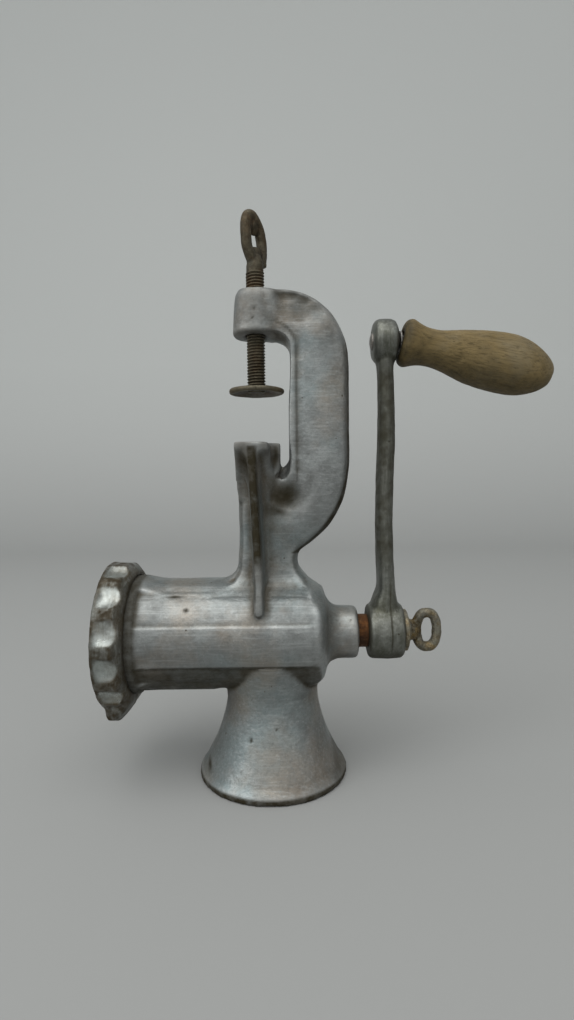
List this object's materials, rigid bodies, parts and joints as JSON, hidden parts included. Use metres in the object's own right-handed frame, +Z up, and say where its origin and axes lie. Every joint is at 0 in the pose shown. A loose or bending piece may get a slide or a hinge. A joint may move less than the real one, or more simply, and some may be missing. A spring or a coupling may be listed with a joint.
{
  "type": "meat grinder",
  "caption": "Hand-cranked table-clamp meat grinder of tinned cast iron, standing on its hopper's mouth, with feed screw, knife, hole plate, ring nut, crank and clamp screw.",
  "frame": {"origin": "centre of the hopper's mouth, in the plane of its rim, which the grinder stands on here as in the picture", "axes": "+X along the barrel towards the crank, +Z up from the hopper's mouth to the clamp, +Y to the back of the picture's view. In use the grinder is turned over, with the hopper up and the clamp on a table's edge"},
  "size_m": [0.2309, 0.076, 0.2874],
  "materials": {
    "tinned_iron": "worn tin plating over a smooth casting",
    "ring_iron": "worn tin plating with brown grime",
    "arm_iron": "worn tin plating",
    "screw_iron": "rusty at the journal, tinned on the flight",
    "plate_steel": "ground steel",
    "pin_steel": "dull steel",
    "worn_steel": "corroded, yellowish grey",
    "rusty_steel": "rusty brown",
    "thrust_brass": "dull brass",
    "grip_wood": "weathered beech, bare"
  },
  "bodies": {
    "casting": {"body_casting": "tinned_iron", "plate_key_pin": "pin_steel"},
    "plate": {"hole_plate": "plate_steel"},
    "ring": {"ring_nut": "ring_iron"},
    "drive": {"feed_screw": "screw_iron", "knife_stud": "pin_steel", "cutter_knife": "plate_steel", "thrust_washer": "thrust_brass", "crank_arm": "arm_iron", "grip_spindle": "pin_steel"},
    "grip": {"wooden_grip": "grip_wood"},
    "thumb_washer": {"thumb_washer": "worn_steel"},
    "thumb_screw": {"thumb_screw": "worn_steel"},
    "clamp_pad": {"pressure_disc": "rusty_steel"},
    "clamp_screw": {"clamp_screw": "rusty_steel"}
  },
  "joints": [
    {"name": "plate_slide", "type": "slide", "parent": "casting", "child": "plate", "axis": [-1, 0, 0], "range_m": [0, 0.009]},
    {"name": "ring_turn", "type": "hinge", "parent": "plate", "child": "ring", "pos_m": [-0.084, 0, 0.0723], "axis": [-1, 0, 0], "range_deg": [0, 1080]},
    {"name": "crank_turn", "type": "hinge", "parent": "casting", "child": "drive", "pos_m": [0.0445, 0, 0.0723], "axis": [1, 0, 0], "continuous": true},
    {"name": "grip_spin", "type": "hinge", "parent": "drive", "child": "grip", "pos_m": [0.0666, 0, 0.2206], "axis": [0.9781, 0, -0.2079], "continuous": true},
    {"name": "thumb_washer_slide", "type": "slide", "parent": "drive", "child": "thumb_washer", "axis": [1, 0, 0], "range_m": [0, 0.01]},
    {"name": "thumb_screw_turn", "type": "hinge", "parent": "thumb_washer", "child": "thumb_screw", "pos_m": [0.0702, 0, 0.0723], "axis": [1, 0, 0], "range_deg": [0, 2880]},
    {"name": "clamp_pad_slide", "type": "slide", "parent": "casting", "child": "clamp_pad", "axis": [0, 0, 1], "range_m": [-0.0075, 0.024]},
    {"name": "clamp_screw_turn", "type": "hinge", "parent": "clamp_pad", "child": "clamp_screw", "pos_m": [-0.0061, 0, 0.1953], "axis": [0, 0, 1], "range_deg": [-1800, 5760]}
  ],
  "couplings": [
    {"joint": "plate_slide", "follows": "ring_turn", "m_per_rad": 0.00047746},
    {"joint": "thumb_screw_turn", "follows": "thumb_washer_slide", "rad_per_m": 5026.5},
    {"joint": "clamp_screw_turn", "follows": "clamp_pad_slide", "rad_per_m": 4188.8}
  ]
}
